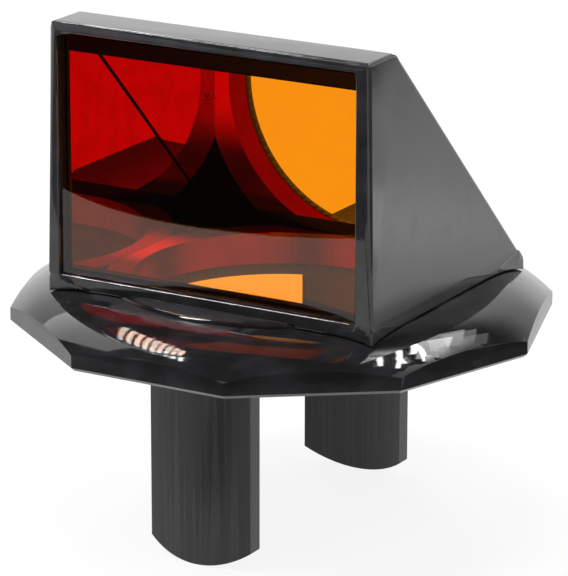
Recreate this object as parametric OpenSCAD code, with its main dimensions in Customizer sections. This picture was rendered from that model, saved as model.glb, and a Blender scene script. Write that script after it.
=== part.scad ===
// Right-angle mirror hood with a tinted window, on a ten-sided flange with two plug-in tongues.
// Millimetres. +Z is up, the window faces -Y, and the origin is on the bore's axis at the
// flange's underside. The hood, with its turntable, turns on the flange about that axis.

/* [Hood] */
// Width of the hood over its side walls, at the foot
hood_w = 40.5; // [37:0.5:44]
// How much each side wall leans in above the foot
draft = 0.5; // [0.1:0.1:0.8]
// From the bore's axis to the hood's front face
hood_front = 16.5; // [15.5:0.1:18]
// From the bore's axis to the hood's back wall
hood_back = 19.2; // [18.4:0.1:19.6]
// Height of the hood above the turntable
hood_h = 29.6; // [26:0.1:36]
// Depth of the flat top, front to back
hood_top_d = 5.9; // [4.5:0.1:8]
// Wall of the top and the slope
wall = 1.8; // [1.5:0.1:2.4]
// Wall of the hood's left side, at the foot
side_wall = 1.95; // [1.8:0.05:3]
// Radius of the edge between the slope and the back wall
heel_r = 2; // [0.5:0.1:3]

/* [Window] */
// Lip over the window
lip = 1.1; // [0.8:0.1:1.5]
// How far the window and the room lie to the left of the middle
shift = 0.4; // [0:0.1:0.4]
// Width of the shelf behind the pane at each side
shelf_w = 0.6; // [0.3:0.1:0.7]
// Height of the sill under the window
sill_h = 1.2; // [0.8:0.1:2.4]
// How far the pane lies behind the front face
pane_recess = 0.5; // [0.3:0.1:1.5]
// Thickness of the pane
pane_t = 1.5; // [1:0.1:2.5]
// Thickness of the gasket that beds the pane
gasket_t = 0.4; // [0.2:0.1:0.8]
// Width of the gasket's band
gasket_w = 0.5; // [0.3:0.1:0.6]

/* [Mirror] */
// Thickness of the mirror
mirror_t = 1; // [0.7:0.1:1.5]
// Thickness of the tape behind the mirror
tape_t = 0.2; // [0.1:0.05:0.4]
// Depth of the pocket that the mirror lies in
pocket_d = 1.1; // [0.6:0.1:1.2]
// Height of the mirror's lower edge above the turntable
mirror_lift = 2.5; // [1.5:0.1:5]
// How far down the slope the mirror starts
mirror_start = 5.5; // [1:0.1:8]

/* [Turntable] */
// From the bore's edge to the disc's edge
disc_land = 3.3; // [3:0.1:5]
// Wall of the turntable's neck
neck_wall = 1.6; // [1.2:0.1:1.8]
// How far the disc's edge lies inside the hood's sides
disc_in = 0.55; // [0.2:0.05:0.8]
// Thickness of the turntable's disc
disc_t = 1.5; // [1.2:0.1:2.5]
// How far the disc's face stands above the flange's crest
disc_proud = 0.45; // [0.2:0.05:1]
// Radius of the disc's upper edge
disc_edge = 0.4; // [0.1:0.05:0.6]
// Radius of the pegs that locate the hood on the disc
peg_r = 0.4; // [0.3:0.05:0.45]
// Thickness of the snap ring that keeps the neck in the flange
snap_t = 0.6; // [0.4:0.1:1]
// Width of the snap ring's band
snap_w = 1.4; // [1:0.1:1.8]
// Thickness of the friction washer
washer_t = 0.3; // [0.2:0.05:0.6]

/* [Flange] */
// Height of the rim at its corners
rim_h = 1.8; // [1.2:0.1:2.6]
// Room between the hood's swinging corners and the rim's flats
rim_room = 1; // [0.1:0.1:3]
// Radial distance from the disc's edge to the flange's crest
crest_out = 2.3; // [1:0.1:3]
// Chamfer along the rim's lower edge
rim_chamfer = 0.4; // [0.2:0.05:0.7]
// Wall of the rim and the roof over the hollow underside
rim_wall = 1.6; // [1.2:0.1:2]
// Thickness of the shelf that the turntable runs on
shelf_t = 0.8; // [0.6:0.1:1.5]
// Thickness of the ribs in the hollow underside
rib_t = 1; // [0.8:0.1:1.5]

/* [Tongues] */
// From the bore's edge to the tongues' outer faces
tongue_out = 2.65; // [2.4:0.05:3.4]
// Thickness of the tongues
tongue_t = 1.9; // [1.4:0.1:2.2]
// Width of the tongues
tongue_w = 12.6; // [8:0.1:18]
// Length of the tongues at their side edges
tongue_l = 21.4; // [10:0.1:40]
// How far the rounded tips reach past the side edges
tip_l = 2; // [0.5:0.1:5]
// How far the ring that carries the tongues reaches past the turntable
plate_out = 4.3; // [3.7:0.1:4.5]
// Thickness of that ring
plate_t = 1.2; // [1:0.1:2]
// Radius of the screws' shanks
screw_r = 0.8; // [0.6:0.05:1]

/* [Hidden] */

$fn = 96;
SIDES = 10;          // sides of the flange
N_SCREWS = 4;
OVER = 1;            // how far cutting solids run past the faces they cut
run_fit = 0.06;      // radial clearance of the neck in the flange
play = 0.05;         // axial play of the turntable
swing_gap = 0.15;    // between the hood's walls and the flange
seat_gap = 0.05;     // round pieces that sit in a recess

// Heights of the swivel's stack, from the flange's underside up
neck_z = plate_t + 0.1;
groove_z = neck_z + 0.4;
shelf_z = groove_z + snap_t + play;
washer_z = shelf_z + shelf_t;
disc_z = washer_z + washer_t + play;
top_z = disc_z + disc_t;
crest_z = top_z - disc_proud;

// Radii of the swivel
disc_r = hood_w / 2 - disc_in;
bore_r = disc_r - disc_land;
plate_r = disc_r + plate_out;
tongue_r = bore_r + tongue_out;
neck_r = bore_r + neck_wall;
groove_r = neck_r - 0.5;
crest_r = disc_r + crest_out;

// The flange's flats clear the hood's corners as it turns, and its top is an arc from the crest
// to the rim's corners
flats_r = norm([hood_w / 2, hood_back]) + rim_room;
corner_r = flats_r / cos(180 / SIDES);
dome_run = corner_r - crest_r;
dome_drop = crest_z - rim_h;
dome_r = (dome_run * dome_run + dome_drop * dome_drop) / (2 * dome_drop);
dome_z = crest_z - dome_r;

// The hood: its slope falls at 45 degrees from the flat top's back edge
hood_top = top_z + hood_h;
slope_y = hood_top_d - hood_front;
slope_sum = slope_y + hood_top;
foot_z = crest_z + 1.5;   // the side walls stand upright up to here
room_w = hood_w - 2 * side_wall - 2 * shift;
mouth_w = room_w + 2 * shelf_w;
mouth_z = top_z + sill_h;
mouth_h = hood_top - lip - mouth_z;
mouth_d = pane_recess + pane_t + gasket_t;
ledge_h = 0.5;       // ledge behind the pane's lower edge
ledge_t = 0.8;
room_y = mouth_d + ledge_t - hood_front;
back_wall = wall - pocket_d;
mirror_face = back_wall + tape_t + mirror_t;
mirror_w = room_w - 0.6;
mirror_end = (hood_h - mirror_lift) * sqrt(2) - mirror_face;

peg_h = 1.5;
peg_x = hood_w / 2 - 1.2;
peg_y = 2;

screw_pcr = (disc_r + plate_r) / 2;
screw_l = 2.6;
head_r = 1.35;
head_h = 0.7;

function flange_z(r) = dome_z + sqrt(dome_r * dome_r - (r - crest_r) * (r - crest_r));

module tube(ri, ro, z0, z1) {
    translate([0, 0, z0])
        difference() {
            cylinder(r = ro, h = z1 - z0);
            translate([0, 0, -OVER]) cylinder(r = ri, h = z1 - z0 + 2 * OVER);
        }
}

module disc_cut(r, z0, z1) {
    translate([0, 0, z0]) cylinder(r = r, h = z1 - z0);
}

module at_screws() {
    for (i = [0:N_SCREWS - 1]) rotate(45 + i * 360 / N_SCREWS) translate([screw_pcr, 0, 0]) children();
}

module decagon(flats, h) {
    // The first corner lies on +X, so one flat faces the window's way
    linear_extrude(height = h)
        polygon([for (i = [0:SIDES - 1]) flats / cos(180 / SIDES)
                 * [cos(i * 360 / SIDES), sin(i * 360 / SIDES)]]);
}

// Solid of revolution under the flange's top, raised by lift
module dome(lift) {
    rotate_extrude()
        union() {
            square([crest_r, crest_z + lift]);
            intersection() {
                translate([crest_r, dome_z]) circle(r = dome_r + lift, $fn = 180);
                translate([0, -OVER]) square([corner_r + OVER, crest_z + lift + OVER]);
            }
        }
}

module base_flange() {
    color([0.08, 0.08, 0.09])
        difference() {
            intersection() {
                decagon(flats_r, crest_z + OVER);
                dome(0);
            }
            for (i = [0:SIDES - 1]) rotate((i + 0.5) * 360 / SIDES)
                translate([flats_r - rim_chamfer, -corner_r / 2, 0])
                    rotate([0, 45, 0]) translate([0, 0, -2 * OVER]) cube([4 * OVER, corner_r, 4 * OVER]);
            disc_cut(neck_r + run_fit, -OVER, top_z + OVER);
            disc_cut(disc_r + run_fit, washer_z, top_z + OVER);
            disc_cut(groove_r + snap_w + 3 * run_fit, -OVER, shelf_z);
            disc_cut(plate_r + seat_gap, -OVER, plate_t);
            at_screws() disc_cut(screw_r, 0, screw_l + plate_t);
            difference() {
                translate([0, 0, -OVER]) decagon(flats_r - rim_wall, rim_h + OVER);
                disc_cut(plate_r + rim_wall, -2 * OVER, rim_h + OVER);
                for (i = [0:SIDES - 1]) rotate(i * 360 / SIDES)
                    translate([plate_r, -rib_t / 2, -2 * OVER])
                        cube([corner_r - plate_r, rib_t, rim_h + 3 * OVER]);
            }
        }
}

// One tongue, at the back; its round tip is an arc through the ends of the side edges
module tongue() {
    tip_r = (tongue_w * tongue_w / 4 + tip_l * tip_l) / (2 * tip_l);
    intersection() {
        tube(tongue_r - tongue_t, tongue_r, -tongue_l - tip_l - OVER, plate_t / 2);
        rotate([90, 0, 180]) linear_extrude(height = tongue_r + OVER)
            intersection() {
                translate([-tongue_w / 2, -tongue_l - tip_l]) square([tongue_w, tongue_l + tip_l + plate_t]);
                union() {
                    translate([0, -tongue_l - tip_l + tip_r]) circle(r = tip_r);
                    translate([-tongue_w, -tongue_l]) square([2 * tongue_w, tongue_l + plate_t]);
                }
            }
    }
}

module tongue_ring() {
    color([0.2, 0.2, 0.22])
        union() {
            difference() {
                tube(bore_r, plate_r, 0, plate_t);
                at_screws() disc_cut(screw_r + seat_gap, -OVER, plate_t + OVER);
                at_screws() disc_cut(head_r + seat_gap, -OVER, head_h);
            }
            tongue();
            rotate(180) tongue();
        }
}

module ring_screws() {
    color([0.7, 0.7, 0.72])
        at_screws() {
            difference() {
                disc_cut(head_r, 0.05, head_h);
                translate([0, 0, -OVER]) cylinder(r = head_r / 2, h = OVER + head_h / 2, $fn = 6);
            }
            disc_cut(screw_r - seat_gap, head_h, screw_l + plate_t - 0.3);
        }
}

module friction_washer() {
    color([0.75, 0.72, 0.65]) tube(neck_r + run_fit, disc_r - run_fit, washer_z, washer_z + washer_t);
}

module turntable() {
    color([0.08, 0.08, 0.09])
        union() {
            difference() {
                rotate_extrude()
                    difference() {
                        union() {
                            translate([bore_r, disc_z]) square([disc_r - bore_r, disc_t - disc_edge]);
                            translate([bore_r, disc_z]) square([disc_r - disc_edge - bore_r, disc_t]);
                            translate([disc_r - disc_edge, top_z - disc_edge]) circle(r = disc_edge);
                            translate([bore_r, neck_z]) square([neck_wall, top_z - neck_z]);
                        }
                        translate([groove_r, groove_z]) square([neck_wall, snap_t + play]);
                    }
            }
            for (x = [-peg_x, peg_x], y = [-peg_y, peg_y])
                translate([x, y, 0]) disc_cut(peg_r, disc_z + disc_t / 2, top_z + peg_h);
        }
}

module snap_ring() {
    color([0.7, 0.7, 0.72])
        difference() {
            tube(groove_r + seat_gap, groove_r + snap_w, groove_z + play / 2, groove_z + play / 2 + snap_t);
            translate([0, -1.5, 0]) cube([disc_r + OVER, 3, shelf_z + OVER]);
        }
}

// Side view of the hood, y to the right and z up, with a round heel
module hood_side() {
    heel_z = slope_sum - hood_back;
    tangent = heel_r * tan(22.5);
    difference() {
        polygon([[-hood_front, 0], [-hood_front, hood_top], [slope_y, hood_top],
                 [hood_back, heel_z], [hood_back, 0]]);
        difference() {
            polygon([[hood_back + OVER, heel_z - tangent], [hood_back + OVER, heel_z + OVER],
                     [hood_back - tangent / sqrt(2) + OVER, heel_z + tangent / sqrt(2) + OVER],
                     [hood_back - heel_r, heel_z - tangent]]);
            translate([hood_back - heel_r, heel_z - tangent]) circle(r = heel_r + seat_gap / 2);
        }
    }
}

module across(width) {
    translate([-width / 2, 0, 0]) rotate([90, 0, 90]) linear_extrude(height = width) children();
}

// Local frame of the slope: y runs down it from the flat top, z points out of it
module on_slope() {
    translate([0, slope_y, hood_top]) rotate([-45, 0, 0]) children();
}

// All that lies outside the hood's side walls, which lean in by the draft above the foot
module beside() {
    for (side = [0, 180]) rotate(side)
        translate([hood_w / 2, -hood_w, foot_z]) rotate([0, -atan(draft / (hood_top - foot_z)), 0])
            cube([4 * OVER, 2 * hood_w, hood_top + 4 * OVER]);
}

module shifted() {
    translate([-shift, 0, 0]) children();
}

// Inside of the hood, down to floor_z, with the slope's inner face
module room(floor_z) {
    inner_sum = slope_sum - wall * sqrt(2);
    across(room_w)
        polygon([[room_y, floor_z], [room_y, hood_top - wall],
                 [inner_sum - hood_top + wall, hood_top - wall], [inner_sum - floor_z, floor_z]]);
}

module hood_shell() {
    color([0.08, 0.08, 0.09])
        difference() {
            across(hood_w) hood_side();
            beside();
            dome(swing_gap);
            disc_cut(disc_r + seat_gap, 0, top_z);
            shifted() room(top_z);
            intersection() {
                shifted() room(top_z - OVER);
                disc_cut(disc_r + seat_gap, 0, hood_top);
            }
            shifted() translate([-mouth_w / 2, -hood_front - OVER, mouth_z])
                cube([mouth_w, mouth_d + OVER, mouth_h]);
            shifted() translate([-room_w / 2, -hood_front - OVER, mouth_z + ledge_h])
                cube([room_w, room_y + hood_front + 2 * OVER, hood_top - wall - mouth_z - ledge_h]);
            shifted() on_slope() translate([-mirror_w / 2 - seat_gap, mirror_start - seat_gap, -wall - OVER])
                cube([mirror_w + 2 * seat_gap, mirror_end - mirror_start + 2 * seat_gap, pocket_d + OVER]);
            for (x = [-peg_x, peg_x], y = [-peg_y, peg_y])
                translate([x, y, 0]) disc_cut(peg_r + seat_gap, 0, top_z + peg_h + 0.2);
        }
}

module mirror_slab(face, t, inset) {
    shifted() on_slope() translate([inset - mirror_w / 2, mirror_start + inset, -face])
        cube([mirror_w - 2 * inset, mirror_end - mirror_start - 2 * inset, t]);
}

module mirror_plate() {
    color([0.85, 0.87, 0.9]) mirror_slab(mirror_face, mirror_t, 0);
}

module mirror_tape() {
    color([0.6, 0.6, 0.6]) mirror_slab(back_wall + tape_t, tape_t, 1);
}

module pane_block(front, t, inset) {
    shifted() translate([inset - mouth_w / 2, front - hood_front, mouth_z + inset])
        cube([mouth_w - 2 * inset, t, mouth_h - 2 * inset]);
}

module window_gasket() {
    color([0.05, 0.05, 0.05])
        difference() {
            pane_block(pane_recess + pane_t, gasket_t, seat_gap);
            pane_block(pane_recess, pane_t + gasket_t + OVER, gasket_w);
        }
}

module window_pane() {
    color([0.9, 0.25, 0.02, 0.6]) pane_block(pane_recess, pane_t, seat_gap);
}

base_flange();
tongue_ring();
ring_screws();
friction_washer();
turntable();
snap_ring();
hood_shell();
mirror_plate();
mirror_tape();
window_gasket();
window_pane();
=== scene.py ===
# %% [markdown]
# # A mirror hood on a ten-sided flange
# A small optical attachment: a wedge-shaped black hood with an orange-red window. A slanting
# mirror inside sends what the window sees down through a round hole, and the hood turns on a
# ten-sided flange whose two tongues plug into an instrument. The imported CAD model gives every
# shape its true size and place, so this file only has to dress it: round the edges, mix the
# finishes, and light them as the photograph was lit.

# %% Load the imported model
import math
import bpy
from mathutils import Matrix, Vector
from mathutils.bvhtree import BVHTree


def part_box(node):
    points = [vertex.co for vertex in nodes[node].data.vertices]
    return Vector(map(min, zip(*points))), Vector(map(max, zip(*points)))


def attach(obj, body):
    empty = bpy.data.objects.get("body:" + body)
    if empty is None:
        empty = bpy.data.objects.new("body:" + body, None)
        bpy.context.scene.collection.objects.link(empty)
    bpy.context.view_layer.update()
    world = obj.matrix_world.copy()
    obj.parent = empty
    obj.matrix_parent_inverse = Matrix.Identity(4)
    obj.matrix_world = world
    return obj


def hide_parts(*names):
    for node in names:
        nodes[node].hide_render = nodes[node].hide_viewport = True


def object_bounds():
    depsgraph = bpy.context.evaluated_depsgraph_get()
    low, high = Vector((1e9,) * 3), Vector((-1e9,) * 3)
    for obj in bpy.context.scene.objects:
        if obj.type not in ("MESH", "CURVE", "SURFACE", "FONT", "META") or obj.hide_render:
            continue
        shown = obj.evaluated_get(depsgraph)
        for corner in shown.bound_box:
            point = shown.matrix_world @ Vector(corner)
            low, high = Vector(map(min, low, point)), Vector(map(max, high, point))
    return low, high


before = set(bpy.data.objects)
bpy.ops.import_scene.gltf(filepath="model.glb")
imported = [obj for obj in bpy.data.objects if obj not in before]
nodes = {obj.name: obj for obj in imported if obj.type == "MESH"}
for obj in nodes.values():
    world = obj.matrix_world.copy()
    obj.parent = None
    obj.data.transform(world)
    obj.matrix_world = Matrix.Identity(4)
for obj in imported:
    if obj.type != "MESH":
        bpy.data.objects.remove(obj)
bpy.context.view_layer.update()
MM = 0.001
print("CAD nodes:", ", ".join(sorted(nodes)))

# %% [markdown]
# ## The camera
# A product photograph is nearly always taken with a long lens from a little above. The corners
# of the hood and of the flange were read off the photograph, and the view that puts the CAD
# corners on them is a 240 mm lens, 30 degrees to the right of the window and 17 degrees up.
# The same readings are kept here, so that each render can say how far it is from them.

# %% Points read from the photograph, in pixels from its top left corner
W, H = 568, 576
L = max(W, H)
POINTS = {
    "left_edge": (9.0, 308.0), "right_edge": (553.0, 291.0),
    "top_edge": (79.0, 9.5), "bottom_edge": (209.0, 566.2),
    "front_top_left": (48.0, 27.0), "front_top_right": (371.0, 69.0),
    "front_bottom_right": (371.8, 348.0), "back_top_left": (79.0, 9.5),
    "back_top_right": (396.0, 52.0), "heel_right": (519.0, 250.0),
    "rim_corner_left": (71.5, 355.0), "rim_corner_front": (221.0, 383.0),
    "rim_corner_right": (404.0, 378.5), "rim_corner_far_right": (527.0, 341.0),
    "front_tongue_left": (149.3, 535.1), "front_tongue_right": (250.5, 553.9),
    "back_tongue_right": (405.7, 459.0), "pane_top_left": (58.0, 38.0),
    "pane_bottom_right": (355.0, 324.0),
}
print(len(POINTS), "image points")

# %% Make the camera
AIM = Vector((5.359, -9.147, 6.378)) * MM
AZIMUTH, ELEVATION, ROLL = (math.radians(a) for a in (29.967, 16.973, 0.1134))
DISTANCE, LENS, SENSOR = 416.9 * MM, 240.2187, 36
back = Vector((math.sin(AZIMUTH) * math.cos(ELEVATION),
               -math.cos(AZIMUTH) * math.cos(ELEVATION), math.sin(ELEVATION)))
level = Vector((0, 0, 1)).cross(back).normalized()
upright = back.cross(level)
right = level * math.cos(ROLL) + upright * math.sin(ROLL)
up = upright * math.cos(ROLL) - level * math.sin(ROLL)
bpy.ops.object.camera_add()
camera = bpy.context.object
camera.name = "photo_camera"
camera.matrix_world = Matrix.Translation(AIM + back * DISTANCE) @ Matrix(
    (right, up, back)).transposed().to_4x4()
camera.data.sensor_fit = "AUTO"
camera.data.sensor_width, camera.data.lens = SENSOR, LENS
camera.data.clip_start, camera.data.clip_end = 0.01, 10
bpy.context.scene.camera = camera
print("camera at", [round(c / MM, 1) for c in camera.location], "mm")


# %% From the photograph to the model and back
def photo_ray(x, y):
    """The ray from the camera through a point of the photograph."""
    lens = camera.data
    along = Vector((x - W / 2 + lens.shift_x * L, H / 2 - y + lens.shift_y * L,
                    -L * lens.lens / lens.sensor_width))
    return camera.matrix_world.translation, (camera.matrix_world.to_3x3() @ along).normalized()


def meet(x, y, piece):
    """Where the ray through a point of the photograph meets a finished piece."""
    start, along = photo_ray(x, y)
    tree = BVHTree.FromPolygons([v.co for v in piece.data.vertices],
                                [p.vertices for p in piece.data.polygons])
    place = tree.ray_cast(start, along)[0]
    if place is None:
        nearest = min(piece.data.vertices, key=lambda v: (v.co - start).cross(along).length)
        place = nearest.co.copy()
    return place


def in_photo(place):
    """The pixel at which a place in the model shows."""
    local = camera.matrix_world.inverted() @ Vector(place)
    scale = L * camera.data.lens / camera.data.sensor_width / -local.z
    return (W / 2 - camera.data.shift_x * L + local.x * scale,
            H / 2 + camera.data.shift_y * L - local.y * scale)


print("the flange's axis shows at", [round(c) for c in in_photo((0, 0, 0))])

# %% [markdown]
# ## Shader maths as plain sums
# A procedural finish is mostly arithmetic on noise. Wiring Math nodes by hand is slow to read,
# so this small class holds one output of a node and lets ordinary sums add the nodes.


# %% One wire of a material
class Wire:
    """An output of a node. Sums on wires add Math nodes to their tree."""

    def __init__(self, tree, socket=None):
        self.tree, self.socket = tree, socket

    def node(self, kind, settings=None, feeds=None, out=0):
        """Add a node with these settings; feeds are wires or values for its inputs."""
        made = self.tree.nodes.new("ShaderNode" + kind)
        for name, value in (settings or {}).items():
            setattr(made, name, value)
        for name, value in (feeds or {}).items():
            if isinstance(value, Wire):
                self.tree.links.new(value.socket, made.inputs[name])
            else:
                made.inputs[name].default_value = value
        return Wire(self.tree, made.outputs[out])

    def sum(self, operation, *values):
        """Add a Math node that works on wires or numbers."""
        return self.node("Math", {"operation": operation}, dict(enumerate(values)))

    def __add__(self, other):
        return self.sum("ADD", self, other)

    def __sub__(self, other):
        return self.sum("SUBTRACT", self, other)

    def __rsub__(self, other):
        return self.sum("SUBTRACT", other, self)

    def __mul__(self, other):
        return self.sum("MULTIPLY", self, other)

    def __gt__(self, other):
        return self.sum("GREATER_THAN", self, other)

    def __lt__(self, other):
        return self.sum("LESS_THAN", self, other)

    __radd__, __rmul__ = __add__, __mul__

    def ramp(self, low, high):
        """0 below low and 1 above high, with a soft step between."""
        return self.node("MapRange", {"interpolation_type": "SMOOTHSTEP"},
                         {0: self, 1: low, 2: high, 3: 0.0, 4: 1.0})

    def blend(self, first, second):
        """One colour where this wire is 0, and the other where it is 1."""
        return self.node("Mix", {"data_type": "RGBA"}, {0: self, 6: first, 7: second}, out=2)


# %% What the finishes share
def here(wire):
    """The place on the piece, in metres."""
    return wire.node("TexCoord", out=3)


def axes(wire):
    """The place on the piece as three wires: x, y and z."""
    split = wire.node("SeparateXYZ", {}, {0: here(wire)})
    return [Wire(wire.tree, split.socket.node.outputs[i]) for i in range(3)]


def rays_of(wire):
    """1 for a ray straight from the camera, one off a gloss, and one through the pane."""
    kinds = wire.node("LightPath").socket.node.outputs
    return [Wire(wire.tree, kinds[f"Is {kind} Ray"])
            for kind in ("Camera", "Glossy", "Transmission")]


def worn(wire, most):
    """1 along rounded outer edges, from the pointiness of the mesh, and 0 on flats."""
    return wire.node("NewGeometry", out=7).ramp(0.515, most)


def speckle(wire, size, detail=2.0, stretch=(1, 1, 1)):
    """Noise from 0 to 1, with blobs of about the given size in metres."""
    place = wire.node("Mapping", {}, {0: here(wire), 3: tuple(stretch)})
    return wire.node("TexNoise", {}, {"Vector": place, "Scale": 1 / size, "Detail": detail})


def bumpy(wire, height, depth, strength=1.0):
    """A normal from a height of 0 to 1, which stands for depth metres."""
    return wire.node("Bump", {}, {"Strength": strength, "Distance": depth, "Height": height})


def finish(name, recipe, **constants):
    """A material whose Principled shader takes constants, and what recipe(wire) returns."""
    made = bpy.data.materials.new(name)
    made.use_nodes = True
    shader = made.node_tree.nodes["Principled BSDF"]
    for socket, value in constants.items():
        shader.inputs[socket.replace("_", " ")].default_value = value
    for socket, wire in recipe(Wire(made.node_tree)).items():
        made.node_tree.links.new(wire.socket, shader.inputs[socket])
    return made


def grey(level, tint=(1, 1, 1)):
    """A colour of one level, in a faint tint if one is given."""
    return tuple(level * t for t in tint) + (1,)


print("finishes are sums of noise on Object coordinates")

# %% [markdown]
# ## Glossy black moulding
# The hood, its turntable and the flange are moulded in glossy black plastic. A polished mould
# still leaves a slow waviness that bends reflections, a fine orange peel, and small patches
# that handling has dulled. The colour stays almost black, and the reflections do the rest.


# %% The black moulding
COOL = (1.0, 0.97, 1.06)


def moulded(wire, dark=0.008, light=0.016):
    """Black plastic whose colour drifts from dark to light."""
    cloud = speckle(wire, 4 * MM, 3.0)
    peel = speckle(wire, 0.35 * MM, 2.0)
    wave = speckle(wire, 9 * MM, 1.0)
    rubbed = speckle(wire, 1.6 * MM, 5.0).ramp(0.52, 0.72)
    edge = worn(wire, 0.56)
    colour = cloud.ramp(0.35, 0.7).blend(grey(dark, COOL), grey(light, COOL))
    return {
        "Base Color": (edge * 0.5).blend(colour, grey(0.05, COOL)),
        "Roughness": 0.025 + cloud * 0.02 + rubbed * 0.07 + edge * 0.15,
        "Normal": bumpy(wire, wave * 0.9 + peel * 0.1, 0.02 * MM, 0.35),
    }


PLASTIC_IOR = 1.5
black_moulding = finish("black_moulding", moulded, IOR=PLASTIC_IOR)
hood_moulding = finish("hood_moulding", lambda wire: moulded(wire, 0.013, 0.025), IOR=PLASTIC_IOR)
print("made", black_moulding.name, "and", hood_moulding.name)

# %% [markdown]
# ## Inside the hood
# Seen through the window, the hood's inner side walls are not black but a strong red: they
# mirror the light that comes up the hole. The turntable inside and the wall of the hole are a
# duller red, and all else in there is a flat black that keeps the window's corners dark. The
# turntable's top also has painted light of its own, an emission: faint all over and stronger
# where the mirror shows it, because it is brighter in the photograph than its reflections
# alone make it here.
# A metal's reflection turns white at a shallow angle; a red specular tint keeps it red.


# %% The linings
STRONG_RED, DULL_RED = (0.52, 0.003, 0.006), (0.24, 0.003, 0.008)
# faint and full colours of the painted light on the turntable's top, an emission
FAINT_PAINTED_GLOW, FULL_PAINTED_GLOW = (0.015, 0.0001, 0.0003, 1), (0.55, 0.0007, 0.0035, 1)
RED_EDGE = (1.0, 0.42, 0.42, 1)
SMOOTH_LINING, DULL_LINING = 0.01, 0.30


def lined(red, rough):
    """A recipe for a metallic lining, slightly uneven."""
    def recipe(wire):
        cloud = speckle(wire, 3 * MM, 3.0)
        faint = tuple(0.82 * c for c in red) + (1,)
        return {
            "Base Color": cloud.ramp(0.3, 0.7).blend(red + (1,), faint),
            "Roughness": rough + cloud * 0.01,
        }
    return recipe


def land_with_painted_glow(wire):
    """The turntable is dull red inside the hood, with painted light of its own, and is black
    behind its back wall.
    """
    y = axes(wire)[1]
    # painted light: an emission, strongest on a band of the turntable's top where the mirror
    # shows it, and faint elsewhere inside the hood
    painted_glow = y.ramp(9 * MM, 2 * MM) * y.ramp(-5 * MM, -1 * MM)
    inside_hood = y.ramp(17.3 * MM, 17.1 * MM)
    faint_painted_glow = inside_hood.blend((0, 0, 0, 1), FAINT_PAINTED_GLOW)
    made = lined(DULL_RED, DULL_LINING)(wire)
    made["Base Color"] = inside_hood.blend(grey(0.010, COOL), made["Base Color"])
    made["Metallic"] = inside_hood
    made["Emission Color"] = painted_glow.blend(faint_painted_glow, FULL_PAINTED_GLOW)
    return made


def flat_black(wire):
    """The dull black of what is neither lining nor window."""
    grain = speckle(wire, 0.2 * MM, 3.0)
    return {
        "Base Color": grain.blend((0.003, 0.0006, 0.001, 1), (0.006, 0.001, 0.002, 1)),
        "Roughness": 0.6 + grain * 0.15,
    }


red_lining = finish("red_lining", lined(STRONG_RED, SMOOTH_LINING),
                    Metallic=1.0, Specular_Tint=RED_EDGE)
dull_lining = finish("dull_lining", lined(DULL_RED, DULL_LINING),
                     Metallic=1.0, Specular_Tint=RED_EDGE)
# the turntable's top takes painted light here: an emission of its own
red_land_painted_glow = finish("red_land_painted_glow", land_with_painted_glow, Specular_Tint=RED_EDGE, Emission_Strength=1.0)
inner_black = finish("inner_black", flat_black, Specular_IOR_Level=0.12)
print("linings between the window and the mirror")

# %% [markdown]
# ## The other finishes
# The tongues are a softer, satin grade of the same plastic, with faint draw marks down their
# length where the mould opened. The small steel parts are brushed along their shape, and the
# mirror is nearly perfect but for a breath of haze.


# %% Tongue plastic
def satin(wire):
    """Black plastic with a fine grain, and draw marks along z."""
    grain = speckle(wire, 0.18 * MM, 3.0)
    draw = speckle(wire, 0.5 * MM, 2.0, (1, 1, 0.04))
    cloud = speckle(wire, 5 * MM, 3.0)
    edge = worn(wire, 0.57)
    colour = cloud.blend(grey(0.012, COOL), grey(0.020, COOL))
    return {
        "Base Color": (edge * 0.5).blend(colour, grey(0.04, COOL)),
        "Roughness": 0.22 + cloud * 0.08 + draw * 0.05,
        "Normal": bumpy(wire, grain * 0.6 + draw * 0.4, 0.01 * MM, 0.3),
    }


tongue_plastic = finish("tongue_plastic", satin, IOR=PLASTIC_IOR, Specular_IOR_Level=0.32)


# %% Steel, polymer, tape and rubber
def turned_steel(wire):
    """Steel with close scratches and faint stains."""
    scratch = speckle(wire, 0.25 * MM, 4.0, (1, 1, 8))
    stain = speckle(wire, 1.5 * MM, 3.0)
    return {
        "Base Color": stain.blend(grey(0.50), grey(0.62)),
        "Roughness": 0.22 + scratch * 0.2,
        "Normal": bumpy(wire, scratch, 0.01 * MM, 0.5),
    }


def dusty(low, high, rough, size):
    """A recipe for a dull, even solid with a fine grain."""
    def recipe(wire):
        grain = speckle(wire, size, 3.0)
        cloud = speckle(wire, 10 * size, 2.0)
        return {
            "Base Color": cloud.blend(low, high),
            "Roughness": rough + grain * 0.12,
            "Normal": bumpy(wire, grain, 0.1 * size, 0.5),
        }
    return recipe


screw_steel = finish("screw_steel", turned_steel, Metallic=1.0)
snap_steel = finish("snap_steel", turned_steel, Metallic=1.0)
washer_polymer = finish("washer_polymer", dusty(
    (0.62, 0.58, 0.50, 1), (0.72, 0.69, 0.62, 1), 0.38, 0.2 * MM))
tape = finish("tape", dusty(grey(0.28), grey(0.38), 0.75, 0.3 * MM))
gasket_rubber = finish("gasket_rubber", dusty(grey(0.012), grey(0.022), 0.6, 0.15 * MM))
print("steel, polymer, tape and rubber")


# %% The mirror and the tinted pane
def silvered(wire):
    """A mirror with a breath of haze."""
    haze = speckle(wire, 6 * MM, 3.0).ramp(0.45, 0.8)
    return {
        "Base Color": haze.blend(grey(0.93), grey(0.90)),
        "Roughness": 0.004 + haze * 0.012,
    }


def tinted(wire):
    """The orange-red pane, slightly wavy and smeared."""
    smear = speckle(wire, 7 * MM, 3.0, (1, 1, 0.5)).ramp(0.5, 0.8)
    wave = speckle(wire, 12 * MM, 1.0)
    return {
        "Base Color": smear.blend((1.0, 0.30, 0.006, 1), (1.0, 0.285, 0.006, 1)),
        "Roughness": smear * 0.008,
        "Normal": bumpy(wire, wave, 0.01 * MM, 0.2),
    }


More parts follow.
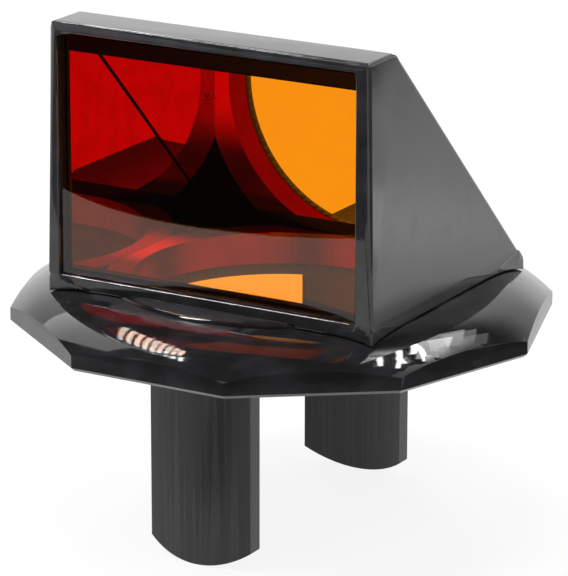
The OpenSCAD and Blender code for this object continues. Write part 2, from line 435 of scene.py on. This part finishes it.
mirror_glass = finish("mirror_glass", silvered, Metallic=1.0)
tinted_pane = finish("tinted_pane", tinted, IOR=1.49, Transmission_Weight=1.0)
print("mirror and pane")

# %% [markdown]
# ## Rounding the edges
# No moulding has a knife edge. In CAD the edges are sharp, so each visible moulding is copied,
# its loose triangles are merged, flat facets are joined where that is safe, and a bevel rounds
# what is sharp. Joining isn't safe on a face with a hole in it: the joined face would close it.
# A thin bright line along an edge is what tells the eye that a black thing is solid.


# %% A rounded copy of a CAD node
WELD = 0.0005 * MM
ONE_PLANE, SMOOTH_ANGLE = math.radians(0.3), math.radians(30)
BEVEL_STEPS, FLAT_WEIGHT = 3, 90


def in_mode(mode):
    """Go to EDIT or OBJECT mode with the active piece."""
    bpy.ops.object.mode_set(mode=mode)


def free_copy(node, name):
    """A copy of a CAD node's piece that is no longer tied to the node, selected on its own."""
    source = nodes[node]
    piece = source.copy()
    piece.data = source.data.copy()
    piece.name = name
    piece.parent = None
    for key in list(piece.keys()):
        del piece[key]
    bpy.context.scene.collection.objects.link(piece)
    bpy.ops.object.select_all(action="DESELECT")
    piece.select_set(True)
    bpy.context.view_layer.objects.active = piece
    return piece


def join_facets(piece, joined):
    """Merge doubled vertices, and join facets in one plane where joined(place) says so."""
    in_mode("EDIT")
    bpy.ops.mesh.select_all(action="SELECT")
    bpy.ops.mesh.remove_doubles(threshold=WELD)
    bpy.ops.mesh.select_all(action="DESELECT")
    in_mode("OBJECT")
    mesh = piece.data
    for face in mesh.polygons:
        face.select = all(joined(mesh.vertices[v].co / MM) for v in face.vertices)
    in_mode("EDIT")
    bpy.ops.mesh.dissolve_limited(angle_limit=ONE_PLANE)


def weigh_edges(piece, sharp, share):
    """Give each edge sharper than sharp degrees the bevel weight share(its middle)."""
    bpy.ops.mesh.select_all(action="DESELECT")
    bpy.ops.mesh.edges_select_sharp(sharpness=math.radians(sharp))
    in_mode("OBJECT")
    mesh = piece.data
    weights = mesh.attributes.new("bevel_weight_edge", "FLOAT", "EDGE").data
    for edge in mesh.edges:
        if edge.select:
            ends = [mesh.vertices[v].co / MM for v in edge.vertices]
            weights[edge.index].value = share((ends[0] + ends[1]) / 2)


def rounded(node, name, body, finish_of, width, sharp=28, share=lambda place: 1.0,
            joined=lambda place: False):
    """Copy a CAD node and round its sharp edges; share(place) scales the width, edge by edge.
    Places are in millimetres. Weighted normals keep the flats flat beside their bevels."""
    piece = free_copy(node, name)
    join_facets(piece, joined)
    weigh_edges(piece, sharp, share)
    bevel = piece.modifiers.new("edge", "BEVEL")
    bevel.width, bevel.segments = width, BEVEL_STEPS
    bevel.limit_method = "WEIGHT"
    bevel.use_clamp_overlap = node != "hood_shell"
    bpy.ops.object.modifier_apply(modifier=bevel.name)
    bpy.ops.object.shade_smooth_by_angle(angle=SMOOTH_ANGLE)
    even = piece.modifiers.new("even", "WEIGHTED_NORMAL")
    even.mode, even.weight, even.keep_sharp = "FACE_AREA", FLAT_WEIGHT, True
    bpy.ops.object.modifier_apply(modifier=even.name)
    piece.data.materials.clear()
    piece.data.materials.append(finish_of)
    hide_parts(node)
    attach(piece, body)
    print(name, len(nodes[node].data.polygons), "->", len(piece.data.polygons), "faces")
    return piece


# %% A second finish on some faces of a piece
def repaint(piece, finish_of, rule):
    """rule(centre in mm, normal) says which faces take the finish."""
    slot = len(piece.data.materials)
    piece.data.materials.append(finish_of)
    chosen = [f for f in piece.data.polygons if rule(f.center / MM, f.normal)]
    for face in chosen:
        face.material_index = slot
    print(piece.name, len(chosen), "faces wear", finish_of.name)


# %% The hood, the turntable and the pane
HOOD_LOW, HOOD_HIGH = (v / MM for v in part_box("hood_shell"))
FOOT_TOP = 6.2
SLOPE_SUM = 24.0  # y + z on the slope's outer plane, in millimetres


def hood_share(place):
    """Broad rounding outside, fine rounding in the mouth, inside and along the foot."""
    front = place.y < HOOD_LOW.y + 0.1
    mouth = front and place.z < HOOD_HIGH.z - 0.5 and abs(place.x) < HOOD_HIGH.x - 0.6
    outside = front or abs(place.x) > HOOD_HIGH.x - 0.6 or place.z > HOOD_HIGH.z - 0.1
    if outside and not mouth and place.z > FOOT_TOP:
        return 1.0
    return 0.35 if mouth else 0.12


hood = rounded("hood_shell", "hood", "hood", hood_moulding, 0.45 * MM, share=hood_share,
               joined=lambda place: abs(place.y + place.z - SLOPE_SUM) < 0.02)
turntable = rounded("turntable", "turntable_disc", "hood", black_moulding, 0.06 * MM)
pane = rounded("window_pane", "tinted_window", "hood", tinted_pane, 0.10 * MM)

# %% What lies inside the hood, in millimetres
MIRROR_LOW, MIRROR_HIGH = (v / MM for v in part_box("mirror_plate"))
PANE_LOW, PANE_HIGH = (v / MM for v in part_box("window_pane"))
BORE_R, LAND_Z = 16.4, 4.8
POCKET_SUM = 23.1  # y + z short of the slope's outer skin


def inside(c, n):
    """Whether a face of the hood looks into its room."""
    return (MIRROR_LOW.x - 0.7 < c.x < MIRROR_HIGH.x + 0.7 and c.y > PANE_HIGH.y + 0.1
            and c.y + c.z < POCKET_SUM and c.z < HOOD_HIGH.z - 1.0)


def land(c, n):
    """Whether a face of the turntable is its top, behind the pane."""
    return (n.z > 0.9 and c.y > PANE_HIGH.y + 0.5 and c.z > LAND_Z
            and c.xy.length > BORE_R)


repaint(hood, inner_black, inside)
repaint(hood, red_lining, lambda c, n: inside(c, n) and abs(n.x) > 0.95)
repaint(turntable, dull_lining, lambda c, n: c.xy.length < BORE_R + 0.1)
repaint(turntable, red_land_painted_glow, land)
repaint(pane, gasket_rubber, lambda c, n: abs(n.y) < 0.9)

# %% The flange and the tongues
flange = rounded("base_flange", "ten_sided_flange", "flange", black_moulding, 0.18 * MM, 14,
                 joined=lambda place: place.xy.length > 24.6)
tongues = rounded("tongue_ring", "tongues", "flange", tongue_plastic, 0.16 * MM,
                  joined=lambda place: place.z < -0.01)

# %% [markdown]
# ## True normals
# Gloss shows every facet. The arched top is part of a ring-shaped surface and the tongues are
# parts of a cylinder, so the corners of their facets are given the normals of the true surface.
# The rim's walls lean back a little in the photograph, so that they mirror the dark room rather
# than the white table; their normals lean too, and their shape keeps its place.


# %% A pass over the corners of a piece
def true_normals(piece, rule):
    """rule(place, normal of the face) gives the wanted normal, or None to leave it."""
    mesh, changed = piece.data, 0
    normals = [Vector(n.vector) for n in mesh.corner_normals]
    for face in mesh.polygons:
        for i in face.loop_indices:
            wanted = rule(mesh.vertices[mesh.loops[i].vertex_index].co, face.normal)
            if wanted is not None:
                normals[i] = wanted.normalized()
                changed += 1
    mesh.normals_split_custom_set(normals)
    print(piece.name, changed, "corners follow the true surface")


CREST_R, RIM_H, RIM_R = 22.0 * MM, 1.8 * MM, 28.8 * MM
NEAR = math.radians(9)
RIM_LEAN = Vector((0, 0, math.tan(math.radians(8))))
TONGUE_OUT, TONGUE_IN = 18.9 * MM, 17.3 * MM
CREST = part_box("base_flange")[1]
RUN, DROP = CREST.x - CREST_R, CREST.z - RIM_H
ARC_R = (RUN * RUN + DROP * DROP) / (2 * DROP)


def flange_rule(place, facing):
    """The arch's true normal, and the leaning one of the rim's walls."""
    out = Vector((place.x, place.y, 0))
    arc = place - out.normalized() * CREST_R
    arc.z -= CREST.z - ARC_R
    if (out.length > CREST_R - 0.05 * MM and abs(arc.length - ARC_R) < 0.01 * MM
            and facing.angle(arc) < NEAR):
        return arc
    if out.length > RIM_R and abs(facing.z) < 0.02:
        return facing + RIM_LEAN
    return None


def tongue_rule(place, facing):
    """The true normals of a tongue's outer and inner cylinders."""
    out = Vector((place.x, place.y, 0))
    if place.z > -0.2 * MM or abs(facing.z) > 0.05:
        return None
    if facing.angle(out) < NEAR and out.length > TONGUE_OUT:
        return out
    if facing.angle(-out) < NEAR and out.length < TONGUE_IN:
        return -out
    return None


true_normals(flange, flange_rule)
true_normals(tongues, tongue_rule)

# %% Finishes for the nodes that keep their CAD shape
for node, finish_of in (("mirror_plate", mirror_glass), ("mirror_tape", tape),
                        ("window_gasket", gasket_rubber), ("ring_screws", screw_steel),
                        ("snap_ring", snap_steel), ("friction_washer", washer_polymer)):
    nodes[node].data.materials.clear()
    nodes[node].data.materials.append(finish_of)
    print(node, "wears", finish_of.name)

# %% [markdown]
# ## The studio
# Black gloss shows its surroundings more than itself, so the surroundings are made first: a
# white table that ends a little way in front, a bright sweep low down behind, and darkness
# above, where a bank of narrow strip lamps makes the comb of streaks on the flange. The edge
# of the lit part of the table is the curved lower edge of the window's dark band. A dark
# stripe on it shades the front tongue, and a gleam behind it lightens the hood's right side.


# %% The white table
EDGE_X, EDGE_Y, EDGE_CURVE, LIT_RIGHT = -0.071, -0.1265, 12.0, 0.15
GLEAM_AT, GLEAM_SIZE = (0.098, 0.119), (0.032, 0.026)
TABLE_LEVEL, GLEAM_LEVEL, DARK_LEVEL = 1.08, 0.8, 0.02
PAPER, PAPER_CLEAN = 0.85, 0.88


def table_top(wire):
    """White to the camera; in reflections it is lit only near the object. All in metres."""
    x, y = axes(wire)[:2]
    seen, glossy, through = rays_of(wire)
    aside = x - EDGE_X
    stripe = x.ramp(-0.016, -0.011) * x.ramp(0.001, -0.004) * y.ramp(-0.035, -0.045)
    lit = (y + aside * aside * EDGE_CURVE > EDGE_Y) * (x < LIT_RIGHT) * (1 - stripe)
    across, behind = ((axis - at) * (1 / size)
                      for axis, at, size in zip((x, y), GLEAM_AT, GLEAM_SIZE))
    gleam = (across * across + behind * behind).ramp(1.0, 0.0)
    mirrored = DARK_LEVEL + lit * (TABLE_LEVEL + gleam * GLEAM_LEVEL)
    white = wire.node("Emission", {}, {"Color": grey(1.0),
                                       "Strength": seen + (1 - seen) * mirrored})
    pale = wire.node("BsdfDiffuse", {}, {"Color": grey(PAPER)})
    clean = seen * PAPER_CLEAN + glossy + through
    return wire.node("MixShader", {}, {0: clean.sum("MINIMUM", clean, 1.0), 1: pale, 2: white})


low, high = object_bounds()
TABLE_SIZE, TABLE_GAP = 2.4, 0.05 * MM
bpy.ops.object.select_all(action="DESELECT")
bpy.ops.mesh.primitive_plane_add(size=TABLE_SIZE, location=(0, 0, low[2] - TABLE_GAP))
table = bpy.context.object
table.name = "white_table"
bpy.ops.object.transform_apply(location=True, rotation=True, scale=True)
cloth = bpy.data.materials.new("table_white")
cloth.use_nodes = True
cloth.node_tree.nodes.clear()
output = cloth.node_tree.nodes.new("ShaderNodeOutputMaterial")
cloth.node_tree.links.new(table_top(Wire(cloth.node_tree)).socket, output.inputs["Surface"])
table.data.materials.append(cloth)
print("table top at", round(low[2] / MM, 2), "mm")

# %% The room round the table
world = bpy.data.worlds.new("studio_room")
bpy.context.scene.world = world
world.use_nodes = True
world.node_tree.nodes.clear()
room = Wire(world.node_tree)
seen, glossy, through = rays_of(room)
heading = room.node("SeparateXYZ", {}, {0: room.node("TexCoord", out=0)}).socket.node.outputs
along_y, rise = Wire(room.tree, heading[1]), Wire(room.tree, heading[2])
sweep = (1 - rise.ramp(0.42, 0.62)) * along_y.ramp(-0.35, 0.1)
reflected = 0.02 + sweep * (0.8 + (1 - rise.ramp(0.20, 0.40)) * 0.5)
FILL = 0.35
sharp = glossy.sum("MAXIMUM", glossy, through)
strength = seen + (1 - seen) * (sharp * reflected + (1 - sharp) * FILL)
light = room.node("Background", {}, {"Color": grey(1.0), "Strength": strength})
output = world.node_tree.nodes.new("ShaderNodeOutputWorld")
world.node_tree.links.new(light.socket, output.inputs["Surface"])
print("bright sweep behind, dark room above")


# %% A lamp in a given direction from the flange
def toward(azimuth, elevation):
    """Unit vector: azimuth from the window's front round to the right, in degrees."""
    a, e = math.radians(azimuth), math.radians(elevation)
    return Vector((math.sin(a) * math.cos(e), -math.cos(a) * math.cos(e), math.sin(e)))


def strip_lamp(name, centre, distance, size, watts, along=Vector((0, 0, 1))):
    """A rectangle lamp towards centre that faces the flange, with its long side as near along
    as the facing allows."""
    lamp = bpy.data.lights.new(name, "AREA")
    lamp.shape, lamp.size, lamp.size_y = "RECTANGLE", size[0], size[1]
    lamp.energy = watts
    made = bpy.data.objects.new(name, lamp)
    bpy.context.scene.collection.objects.link(made)
    facing = centre.normalized()
    run = (along - facing * along.dot(facing)).normalized()
    side = run.cross(facing)
    made.matrix_world = Matrix.Translation(facing * distance) @ Matrix(
        (side, run, facing)).transposed().to_4x4()
    return made


# %% [markdown]
# The comb of streaks on the arched top is a bank of nine thin bars. Where the hood stands in the
# way of the mirrored view, the same comb goes on in the window's own reflection, so a brighter
# bank of bars stands in front as well, as if mirrored by the pane. A few short bars and four
# broad ones, each dimmer than the last, make the swirl and the soft patch on the right. The
# bars' places were found by sending rays from the camera through the middle of each streak and
# mirroring them in the arched top.

# %% The bank of bars, and the soft lamps
BAR_FAR, BAR_WIDTH, BARS = 0.35, 5 * MM, 9
BACK_RADIANCE, FRONT_RADIANCE = 18, 70
STREAK_WIDTH, STREAK_RADIANCE, PATCH_WIDTH = 6 * MM, 20, 35 * MM
SOFT_FAR, LEFT_SIZE, LEFT_RADIANCE = 0.6, 0.24, 1.5


def bar(name, tip, tail, width, radiance):
    """A thin lamp from tip to tail, with the radiance that a mirror would show."""
    middle, long = (tip + tail) / 2, (tip - tail).length
    return strip_lamp(name, middle, middle.length, (width, long),
                      radiance * math.pi * width * long, tip - tail)


def mm(*place):
    """A place given in millimetres, in metres."""
    return Vector(place) * MM


for i in range(BARS):
    bar(f"back_bar_{i}", toward(-139.5 + 0.84 * i, 32.6 + 2.4 * i) * BAR_FAR,
        toward(-125.6 + 1.95 * i, 45.0 + 2.35 * i) * BAR_FAR, BAR_WIDTH, BACK_RADIANCE)
    bar(f"front_bar_{i}", mm(-204, -240, 200) + mm(4.7, 9.6, 12.4) * i,
        mm(-222, -160, 268) + mm(5.7, 11.3, 15.2) * i, BAR_WIDTH, FRONT_RADIANCE)
STREAKS = (((42, 128, 320), (-10, 175, 297)), ((72, 128, 317), (-15, 197, 272)),
           ((20, 190, 287), (-28, 222, 252)), ((69, 170, 297), (-18, 220, 262)),
           ((58, 150, 308), (20, 172, 300)))
for i, (tip, tail) in enumerate(STREAKS):
    bar(f"right_streak_{i}", mm(*tip), mm(*tail), STREAK_WIDTH, STREAK_RADIANCE)
PATCH = (((60, 183, 290), (-28, 243, 241), 5), ((39, 216, 270), (-45, 260, 218), 2.2),
         ((34, 236, 253), (-28, 265, 218), 1.2), ((53, 245, 245), (7, 265, 225), 0.8))
for i, (tip, tail, radiance) in enumerate(PATCH):
    bar(f"right_patch_{i}", mm(*tip), mm(*tail), PATCH_WIDTH, radiance)
strip_lamp("overhead", toward(0, 88), 0.5, (0.16, 0.16), 1.2).visible_glossy = False
strip_lamp("left_box", Vector((-0.65, 0.42, 0.63)), SOFT_FAR, (LEFT_SIZE, LEFT_SIZE),
           LEFT_RADIANCE * math.pi * LEFT_SIZE ** 2)
strip_lamp("right_box", toward(70, 50), SOFT_FAR, (0.2, 0.2), 1.0)

# %% Colours as they are written
bpy.context.scene.view_settings.view_transform = "Standard"
print("view transform:", bpy.context.scene.view_settings.view_transform)

# %% [markdown]
# ## How true is it?
# Each image point is compared with the place where the finished model shows the same thing.


# %% Where the finished model shows each point
ROUND = 0.6 * MM
TONGUE_X, TONGUE_Y, TONGUE_Z = 6.3, 18.0, -21.4
TURNS = {"rim_corner_left": -108, "rim_corner_front": -72, "rim_corner_right": -36,
         "rim_corner_far_right": 0}


def corner(piece, place):
    """The pixel of the middle of the rounded corner nearest to a place given in millimetres."""
    place = Vector(place) * MM
    near = min(piece.data.vertices, key=lambda v: (v.co - place).length).co
    ring = [v.co for v in piece.data.vertices if (v.co - near).length < ROUND]
    return in_photo(sum(ring, Vector()) / len(ring))


def rim_place(turn):
    """The upper corner of the rim at a turn from the x axis, in millimetres."""
    a = math.radians(turn)
    return Vector((CREST.x * math.cos(a), CREST.x * math.sin(a), RIM_H)) / MM


slope_top = SLOPE_SUM - HOOD_HIGH.z
everything = [in_photo(v.co) for p in (hood, turntable, pane, flange, tongues)
              for v in p.data.vertices]
shows = {
    "left_edge": (min(p[0] for p in everything), None),
    "right_edge": (max(p[0] for p in everything), None),
    "top_edge": (None, min(p[1] for p in everything)),
    "bottom_edge": (None, max(p[1] for p in everything)),
    "front_top_left": corner(hood, (HOOD_LOW.x, HOOD_LOW.y, HOOD_HIGH.z)),
    "front_top_right": corner(hood, (HOOD_HIGH.x, HOOD_LOW.y, HOOD_HIGH.z)),
    "front_bottom_right": corner(hood, (HOOD_HIGH.x, HOOD_LOW.y, 3.5)),
    "back_top_left": corner(hood, (HOOD_LOW.x, slope_top, HOOD_HIGH.z)),
    "back_top_right": corner(hood, (HOOD_HIGH.x, slope_top, HOOD_HIGH.z)),
    "heel_right": corner(hood, (HOOD_HIGH.x, 18.6, 5.2)),
    "front_tongue_left": corner(tongues, (-TONGUE_X, -TONGUE_Y, TONGUE_Z)),
    "front_tongue_right": corner(tongues, (TONGUE_X, -TONGUE_Y, TONGUE_Z)),
    "back_tongue_right": corner(tongues, (TONGUE_X, TONGUE_Y, TONGUE_Z)),
    "pane_top_left": corner(pane, (PANE_LOW.x, PANE_LOW.y, PANE_HIGH.z)),
    "pane_bottom_right": corner(pane, (PANE_HIGH.x, PANE_LOW.y, PANE_LOW.z)),
}
shows.update({name: corner(flange, rim_place(turn)) for name, turn in TURNS.items()})
apart = {name: [None if s is None else round(s - p, 1) for s, p in zip(shows[name], POINTS[name])]
         for name in POINTS}
print("off by:", apart)
print("rays through the rim's corners pass them by, in mm:",
      [round((meet(*POINTS[name], flange) / MM - rim_place(turn)).length, 2)
       for name, turn in TURNS.items()])
